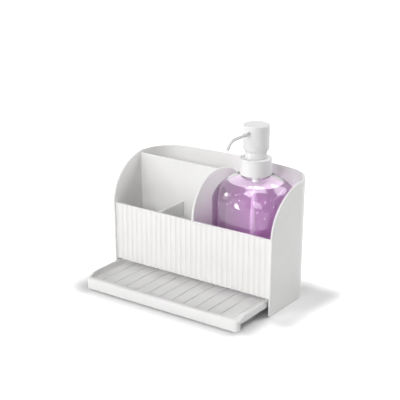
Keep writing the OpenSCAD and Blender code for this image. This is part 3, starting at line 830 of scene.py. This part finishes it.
# Rings and height of the pale film of painted light on the soap's surface
PAINTED_FILM_STEPS = SURFACE_STEPS[2:]
PAINTED_FILM_LOW = 0.03
PAINTED_FILM_HIGH = 0.25
BUBBLES = 52
BUBBLE_R = 0.5
BUBBLE_GROWTH = 0.9
BUBBLE_GAP = 0.5
BUBBLE_TOP_Z = SOAP_Z - 2.5
BUBBLE_FALL = SOAP_Z - 85.0
BUBBLE_MIDDLE = -65.0
BUBBLE_SPREAD = 70.0
SIZE_STEP, TURN_STEP, DEPTH_STEP = 0.4142, 0.618, 0.7549
SMALL_SHARE, HIGH_SHARE = 1.5, 1.3


def oval_reach(a, b, power, turn):
    """Distance from the middle to the edge of an oval, at a turn."""
    return (abs(math.cos(turn) / a) ** power + abs(math.sin(turn) / b) ** power) ** (-1 / power)


def oval_ring(a, b, power, z):
    ring = []
    for i in range(AROUND):
        turn = 2 * math.pi * i / AROUND
        reach = oval_reach(a, b, power, turn)
        ring.append((PUMP_X + reach * math.cos(turn), PUMP_Y + reach * math.sin(turn), z))
    return ring


def push_rings(inset):
    """Rings of the raised middle of the bottle's base."""
    a, b = BOTTLE_A - inset - BASE_ROUND, BOTTLE_B - inset - BASE_ROUND
    return [oval_ring(a * s, b * s, PLAN_POWER, FLOOR_Z + inset + h) for s, h in PUSH_UP]


def form_rings(inset, top_r, level=None):
    """Rings of the bottle's form from its base up its shoulder, or up to a level."""
    low = FLOOR_Z + inset
    a, b = BOTTLE_A - inset, BOTTLE_B - inset
    rise = NECK_Z - SHOULDER_Z - inset
    rings = []
    for k in spaced(0, 1, 0.1):
        out = BASE_ROUND * (1 - math.sin(math.pi / 2 * k))
        up = BASE_ROUND * (1 - math.cos(math.pi / 2 * k))
        rings.append(oval_ring(a - out, b - out, PLAN_POWER, low + up))
    rings += [oval_ring(a, b, PLAN_POWER, z) for z in spaced(low + BASE_ROUND, SHOULDER_Z, SHORT_STEP)[1:-1]]

    def shoulder(k):
        out = max(0.0, math.cos(math.pi / 2 * k)) ** (2 / SHOULDER_POWER)
        up = math.sin(math.pi / 2 * k) ** (2 / SHOULDER_POWER)
        power = PLAN_POWER + (2 - PLAN_POWER) * k
        return oval_ring(top_r + (a - top_r) * out, top_r + (b - top_r) * out, power, SHOULDER_Z + rise * up)

    for k in spaced(0, 1, 0.03):
        ring = shoulder(k)
        if level is not None and ring[0][2] > level - 0.01:
            up = min(1.0, ((level - SHOULDER_Z) / rise) ** (SHOULDER_POWER / 2))
            rings.append(shoulder(math.asin(up) / (math.pi / 2)))
            break
        rings.append(ring)
    return rings


def clear_bottle():
    """Outer skin, neck with its support bead, and inner skin, closed over the neck's mouth."""
    bore, inner_top = NECK_R - BOTTLE_T, NECK_Z - BOTTLE_T
    rim_r, rim_cut, under_bead, over_bead = 0.4, 0.12, 0.02, 0.15
    neck = [(NECK_R + out, NECK_Z + up) for out, up in NECK_ROOT]
    neck += [(NECK_R, BEAD_Z - under_bead)]
    neck += bend((NECK_R + BEAD_W - BEAD_H / 2, BEAD_Z + BEAD_H / 2), BEAD_H / 2, -90, 90, 10)
    neck += [(NECK_R, BEAD_Z + BEAD_H + over_bead)]
    neck += [(NECK_R, z) for z in spaced(BEAD_Z + BEAD_H + rim_r, NECK_TOP - rim_r, 2.0)]
    neck += [(NECK_R - rim_cut, NECK_TOP - rim_cut), (NECK_R - rim_r, NECK_TOP)]
    neck += [(bore + rim_r, NECK_TOP), (bore + rim_cut, NECK_TOP - rim_cut), (bore, NECK_TOP - rim_r)]
    neck += [(bore, z) for z in spaced(NECK_TOP - rim_r, inner_top + rim_r, 2.0)[1:]]
    neck += [(bore + out, inner_top + up) for out, up in INNER_ROOT]
    rings = push_rings(0) + form_rings(0, NECK_R + BEAD_W + BOTTLE_T)
    rings += [oval_ring(r, r, 2, z) for r, z in neck]
    rings += form_rings(BOTTLE_T, NECK_R + BEAD_W)[::-1] + push_rings(BOTTLE_T)[::-1]
    return loft(rings)


def soap_walls():
    """Rings of the soap from its base up to where its surface climbs the bottle."""
    return form_rings(SOAP_INSET, NECK_R + BEAD_W, SOAP_Z + SOAP_CLIMB)


def surface_ring(rim, inwards, lift=0.0):
    """A ring on the soap's surface at some distance from the bottle."""
    middle = np.array([PUMP_X, PUMP_Y])
    ring = []
    for point in rim:
        away = np.array(point[:2]) - middle
        reach = np.linalg.norm(away)
        x1, y1 = middle + away * max(LEAST_REACH, (reach - inwards) / reach)
        ring.append((x1, y1, SOAP_Z + SOAP_CLIMB * math.exp(-inwards / CLIMB_RUN) + lift))
    return ring


def liquid_soap():
    """Soap up to its level, with a small rise where it meets the bottle."""
    walls = soap_walls()
    return loft(push_rings(SOAP_INSET) + walls + [surface_ring(walls[-1], d) for d in SURFACE_STEPS])


def soap_painted_light_film():
    """Thin pale film on the soap's surface: painted light that makes the soap's top and the space above it
    look pale.
    """
    rim = soap_walls()[-1]
    low = [surface_ring(rim, d, PAINTED_FILM_LOW) for d in PAINTED_FILM_STEPS]
    high = [surface_ring(rim, d, PAINTED_FILM_HIGH) for d in PAINTED_FILM_STEPS]
    return loft(low[::-1] + high)


def small_ball(x, y, z, r):
    steps, around = 12, 16
    points, faces = [(x, y, z + r)], []
    for k in range(1, steps):
        lift = math.pi * k / steps
        points += [(x + r * math.sin(lift) * math.cos(2 * math.pi * i / around),
                    y + r * math.sin(lift) * math.sin(2 * math.pi * i / around), z + r * math.cos(lift))
                   for i in range(around)]
    points.append((x, y, z - r))
    last = len(points) - 1
    faces += [(0, 1 + i, 1 + (i + 1) % around) for i in range(around)]
    for k in range(steps - 2):
        for i in range(around):
            a, b = 1 + k * around + i, 1 + k * around + (i + 1) % around
            faces.append((a, a + around, b + around, b))
    faces += [(last, last - around + (i + 1) % around, last - around + i) for i in range(around)]
    return points, faces


def soap_bubbles():
    """Air bubbles that cling to the inside of the bottle, most of them near the soap's level."""
    rise = NECK_Z - SHOULDER_Z - BOTTLE_T
    top_r = NECK_R + BEAD_W
    balls = []
    for k in range(BUBBLES):
        r = BUBBLE_R + BUBBLE_GROWTH * (SIZE_STEP * k % 1) ** SMALL_SHARE
        turn = math.radians(BUBBLE_MIDDLE + BUBBLE_SPREAD * (2 * (TURN_STEP * k % 1) - 1))
        z = BUBBLE_TOP_Z - BUBBLE_FALL * (DEPTH_STEP * k % 1) ** HIGH_SHARE
        up = max(0.0, z - SHOULDER_Z) / rise
        out = (1 - up ** SHOULDER_POWER) ** (1 / SHOULDER_POWER)
        a = top_r + (BOTTLE_A - BOTTLE_T - top_r) * out - r - BUBBLE_GAP
        b = top_r + (BOTTLE_B - BOTTLE_T - top_r) * out - r - BUBBLE_GAP
        reach = oval_reach(a, b, PLAN_POWER, turn)
        balls.append(small_ball(PUMP_X + reach * math.cos(turn), PUMP_Y + reach * math.sin(turn), z, r))
    return join_parts(*balls)


# Pump
def screw_collar():
    bore, mouth = NECK_R + FIT, SKIRT_R + FIT
    top_r, foot_r, mouth_r, bore_cut = 1.1, 0.5, 0.5, 0.4
    profile = bend((COLLAR_R - foot_r, COLLAR_Z + foot_r), foot_r, 270, 360, 4)
    profile += [(COLLAR_R, z) for z in spaced(COLLAR_Z + foot_r, COLLAR_TOP - top_r, FINE_STEP)[1:-1]]
    profile += bend((COLLAR_R - top_r, COLLAR_TOP - top_r), top_r, 0, 90, 7)
    profile += bend((mouth + mouth_r, COLLAR_TOP - mouth_r), mouth_r, 90, 180, 4)
    profile += [(mouth, COLLAR_TOP - COLLAR_T), (bore, COLLAR_TOP - COLLAR_T)]
    profile += [(bore, COLLAR_Z + bore_cut), (bore + bore_cut, COLLAR_Z)]
    return lathe(profile, PUMP_X, PUMP_Y)


def pump_head():
    """Head with its bevel and skirt, hollow for the stem and the spring."""
    bore, socket = SKIRT_R - SKIRT_T, STEM_R + RUN_FIT
    foot_r, bevel_r, bevel_cut, ceiling_cut, dome = 0.4, 0.5, 0.55, 0.5, 0.25
    crease_low, crease_high, crease_out, corner_in, corner_low = 0.25, 0.2, 0.12, 0.1, 0.05
    bevel_top, edge_z = HEAD_Z + BEVEL_H, HEAD_TOP - HEAD_EDGE_R
    slope = math.atan2(BEVEL_H, HEAD_R - SKIRT_R)
    profile = bend((SKIRT_R - foot_r, SKIRT_LOW + foot_r), foot_r, 270, 360, 3)
    profile += [(SKIRT_R, z) for z in spaced(SKIRT_LOW + foot_r, HEAD_Z, 2.5)[1:-1]]
    profile += [(SKIRT_R, HEAD_Z - crease_low), (SKIRT_R + crease_out, HEAD_Z + crease_high)]
    profile += [(HEAD_R - bevel_cut * math.cos(slope), bevel_top - bevel_cut * math.sin(slope)),
                (HEAD_R - corner_in, bevel_top - corner_low), (HEAD_R, bevel_top + bevel_r)]
    profile += [(HEAD_R, z) for z in spaced(bevel_top + bevel_r, edge_z, 4.0)[1:-1]]
    profile += bend((HEAD_R - HEAD_EDGE_R, edge_z), HEAD_EDGE_R, 0, 84, 8)
    profile += [(r, HEAD_TOP - dome * (r / HEAD_R) ** 6) for r in (12.5, 10.0, 7.0, 3.5, 0.0)]
    profile += [(0.0, STEM_TOP + RUN_FIT), (socket, STEM_TOP + RUN_FIT), (socket, CEILING_Z)]
    profile += [(bore - ceiling_cut, CEILING_Z), (bore, CEILING_Z - ceiling_cut),
                (bore, SKIRT_LOW + foot_r), (bore + foot_r, SKIRT_LOW)]
    return lathe(profile, PUMP_X, PUMP_Y)


def spout_tube():
    """Thin bent tube with a rounded rim at its open tip."""
    around, taper, taper_pace, tip_round = 40, 0.2, 1.1, 0.25
    straight = NOZZLE_REACH - NOZZLE_START
    path = [(-d, 0.0, 0.0) for d in spaced(0, straight, FINE_STEP)]
    for a in spaced(0, BEND_ANGLE, 2.5)[1:]:
        down = math.radians(a)
        path.append((-straight - BEND_R * math.sin(down), BEND_R * (math.cos(down) - 1), down))

    def along(station, d):
        y, z, down = station
        return y - d * math.cos(down), z - d * math.sin(down), down

    def ring(station, r):
        y, z, down = station
        points = []
        for i in range(around):
            t = 2 * math.pi * i / around
            up = r * math.sin(t)
            points.append((PUMP_X + r * math.cos(t), PUMP_Y - NOZZLE_START + y - up * math.sin(down),
                           NOZZLE_Z + z + up * math.cos(down)))
        return points

    path += [along(path[-1], d) for d in spaced(0, TIP_L, 1.0)[1:]]
    last = len(path) - 1
    rings = [ring(path[k], NOZZLE_R - taper * min(1.0, k / last * taper_pace)) for k in range(last)]
    rim = bend((NOZZLE_R - taper - tip_round, -tip_round), tip_round, 0, 90, 3)
    rim += bend((NOZZLE_BORE_R + tip_round, -tip_round), tip_round, 90, 180, 3)
    rings += [ring(along(path[last], d), r) for r, d in rim]
    rings += [ring(path[k], NOZZLE_BORE_R) for k in range(last - 1, -1, -1)]
    return loft(rings, round_trip=True)


def coil_spring():
    """Round wire whose curls lie closer together at both ends."""
    per_turn, sides, closeness = 40, 14, 0.3
    count = CURLS * per_turn
    span = SPRING_HIGH - SPRING_LOW - WIRE_D
    rings = []
    for i in range(count + 1):
        turn = 2 * math.pi * i / per_turn
        ease = closeness * math.sin(turn / CURLS) / (2 * math.pi)
        middle = SPRING_LOW + WIRE_D / 2 + span * (i / count - ease)
        wire = bend((COIL_R, middle), WIRE_D / 2, 0, 360, sides)[:-1]
        rings.append([(PUMP_X + r * math.cos(turn), PUMP_Y + r * math.sin(turn), z) for r, z in wire])
    return loft(rings)


# Pieces
for name, make, node in (("caddy_shell", caddy_shell, "outer_shell"),
                         ("fluted_front", fluted_panel, "front_panel"),
                         ("drain_floor", drain_floor, "floor_grid"),
                         ("tall_partition", tall_divider, "tall_divider"),
                         ("low_partition", low_divider, "low_divider"),
                         ("pocket_partition", pocket_wall, "pocket_wall")):
    add_piece(name, *make(), "caddy", node, CADDY_WHITE, "caddy")
add_piece("ribbed_tray", *drip_tray(), "tray", "drip_tray", TRAY_WHITE, "tray")
add_piece("oval_bottle", *clear_bottle(), "dispenser", "bottle", CLEAR_BOTTLE, "clear_bottle")
add_piece("liquid_soap", *liquid_soap(), "dispenser", "soap", SOAP_PURPLE, "soap")
# Pale film of painted light on the soap's surface
add_piece("soap_painted_light_film", *soap_painted_light_film(), "dispenser", None, PAINTED_LIGHT_FILM, "soap")
add_piece("soap_bubbles", *soap_bubbles(), "dispenser", None, BUBBLE_SKIN, "soap")
add_piece("pump_collar", *screw_collar(), "collar", "screw_collar", PUMP_WHITE, "pump_white")
add_piece("press_head", *pump_head(), "actuator", "pump_head", PUMP_WHITE, "pump_white")
# The spout tube wears the darker copy of the pump's white plastic: painted shade
add_piece("spout_tube", *spout_tube(), "actuator", "nozzle", NOZZLE_PAINTED_SHADE, "pump_white")
spring = add_piece("coil_spring", *coil_spring(), "plunger", "return_spring", SPRING_STEEL, "spring_wire")
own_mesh(spring)

# Materials of the CAD nodes that stay
for node, material in (("runner_left", CADDY_WHITE), ("runner_right", CADDY_WHITE),
                       ("neck_gasket", SEAL_GREY), ("pump_housing", PUMP_WHITE),
                       ("guide_ring", PUMP_WHITE), ("dip_tube", TUBE_CLEAR), ("valve_ball", STEEL),
                       ("piston", SEAL_GREY), ("stem", PUMP_WHITE)):
    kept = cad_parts[node]
    kept.data.materials.clear()
    kept.data.materials.append(material)

# Floor: it glows white away from the object, so that only the shadow near the object shows
FLOOR_LOW = (0.82, 0.82, 0.82)
FLOOR_HIGH = (0.84, 0.84, 0.84)
FLOOR_GLOW = 0.02
FLOOR_WHITE = 1.1
SHADE_RIGHT = 20.0
SHADE_FRONT = 15.0

# Metres
FLOOR_HALF = 12.0
FLOOR_FADE = 0.06


def vector_math(nodes, links, operation, first, second=(0, 0, 0)):
    """Vector math node fed by another node and by one given vector."""
    node = nodes.new("ShaderNodeVectorMath")
    node.operation = operation
    node.inputs[1].default_value = second
    links.new(first, node.inputs[0])
    return node


def outside_box(nodes, links, x_span, y_span):
    """Distance on the floor from a rectangle, zero inside it."""
    middle = [sum(span) / 2 * MM for span in (x_span, y_span)]
    half = [(span[1] - span[0]) / 2 * MM for span in (x_span, y_span)]
    place = nodes.new("ShaderNodeNewGeometry").outputs["Position"]
    for operation, second in (("SUBTRACT", (*middle, 0)), ("ABSOLUTE", (0, 0, 0)),
                              ("SUBTRACT", (*half, 1)), ("MAXIMUM", (0, 0, 0))):
        place = vector_math(nodes, links, operation, place, second).outputs["Vector"]
    return vector_math(nodes, links, "LENGTH", place).outputs["Value"]


def floor_material():
    material, nodes, links, shader, where = new_material("pale_floor")
    vary_colour(nodes, links, shader, noise_factor(nodes, links, where, 6.0), FLOOR_LOW, FLOOR_HIGH)
    shader.inputs["Roughness"].default_value = 0.9
    shader.inputs["Specular IOR Level"].default_value = 0.0
    beside_caddy = outside_box(nodes, links, (-BODY_W / 2, BODY_W / 2 + SHADE_RIGHT), (FRONT_Y, REAR_Y))
    beside_tray = outside_box(nodes, links, (-TRAY_X, TRAY_X), (TRAY_Y + SHADE_FRONT, FRONT_Y))
    nearest = combined(nodes, links, "MINIMUM", beside_caddy, beside_tray)
    far = mapped(nodes, links, nearest, (0.0, FLOOR_FADE, FLOOR_GLOW, FLOOR_WHITE), smooth=True)
    strength = combined(nodes, links, "MULTIPLY", far, seen_rays(nodes, links))
    glow = nodes.new("ShaderNodeEmission")
    links.new(strength, glow.inputs["Strength"])
    add = nodes.new("ShaderNodeAddShader")
    links.new(shader.outputs["BSDF"], add.inputs[0])
    links.new(glow.outputs["Emission"], add.inputs[1])
    links.new(add.outputs["Shader"], nodes["Material Output"].inputs["Surface"])
    return material


def add_floor():
    form = bmesh.new()
    bmesh.ops.create_grid(form, x_segments=8, y_segments=8, size=FLOOR_HALF)
    mesh = bpy.data.meshes.new("studio_floor")
    form.to_mesh(mesh)
    form.free()
    floor = bpy.data.objects.new("studio_floor", mesh)
    bpy.context.scene.collection.objects.link(floor)
    mesh.materials.append(floor_material())


add_floor()

# Studio light, in metres: softboxes, cards for the bottle's highlights and a dim white surround
LAMP_FAR = 3.0
AIM = (0.0, 0.0, 0.07)
AMBIENT = 0.02


def add_softbox(name, towards, size, power, distance=LAMP_FAR, aim=AIM):
    data = bpy.data.lights.new(name, "AREA")
    data.shape = "SQUARE"
    data.size = size
    data.energy = power
    lamp = bpy.data.objects.new(name, data)
    lamp.visible_camera = False
    lamp.visible_glossy = False
    bpy.context.scene.collection.objects.link(lamp)
    lamp.location = Vector(aim) + Vector(towards).normalized() * distance
    lamp.rotation_euler = (Vector(aim) - lamp.location).to_track_quat("-Z", "Y").to_euler()
    return lamp


def add_glint_card(name, spot, towards, distance, width, height, power, roll):
    """Small bright card that shows only as a highlight on glossy surfaces."""
    lamp = add_softbox(name, towards, width, power, distance, spot)
    lamp.data.shape = "RECTANGLE"
    lamp.data.size_y = height
    lamp.visible_glossy = True
    lamp.visible_diffuse = False
    lamp.visible_transmission = False
    lamp.visible_volume_scatter = False
    lamp.rotation_euler.rotate_axis("Z", math.radians(roll))


add_softbox("key_softbox", (-0.29, -0.62, 0.73), 0.8, 23.0)
add_softbox("left_softbox", (-0.79, -0.51, 0.33), 1.0, 14.5)
add_softbox("low_softbox", (-0.5, -0.84, 0.2), 1.0, 7.0)
add_softbox("front_softbox", (0.1, -0.9, 0.42), 1.2, 36.5)
add_softbox("right_softbox", (0.93, 0.1, 0.3), 1.2, 3.0)
add_softbox("rear_softbox", (0.35, 0.65, 0.68), 1.5, 60.0)
add_glint_card("front_glint", (0.0598, -0.0068, 0.1228), (-0.515, -0.851, -0.14), distance=0.36,
               width=0.015, height=0.135, power=0.12, roll=0.0)
add_glint_card("left_glint", (0.0405, 0.0021, 0.1328), (-0.794, -0.513, 0.327), distance=1.0,
               width=0.1, height=0.17, power=1.0, roll=60.0)
add_glint_card("top_glint", (0.0605, -0.003, 0.1425), (-0.05, -0.31, 0.95), distance=1.0,
               width=0.95, height=0.42, power=11.0, roll=55.0)


def add_surround():
    world = bpy.data.worlds.new("studio")
    bpy.context.scene.world = world
    world.use_nodes = True
    nodes, links = world.node_tree.nodes, world.node_tree.links
    back = nodes["Background"]
    level = mapped(nodes, links, seen_rays(nodes, links), (0.0, 1.0, AMBIENT, 1.0))
    links.new(level, back.inputs["Strength"])
    back.inputs["Color"].default_value = (1, 1, 1, 1)


add_surround()

# Camera at the photograph's view
camera_data = bpy.data.cameras.new("view")
camera_data.sensor_width = 36.0
camera_data.lens = 102.475
camera_data.clip_end = 60.0
camera = bpy.data.objects.new("view", camera_data)
bpy.context.scene.collection.objects.link(camera)
camera.location = (0.73958, -1.05045, 0.56723)
camera.rotation_euler = (math.radians(70.6825), 0.0, math.radians(35.008))
bpy.context.scene.camera = camera
bpy.context.scene.view_settings.view_transform = "Standard"
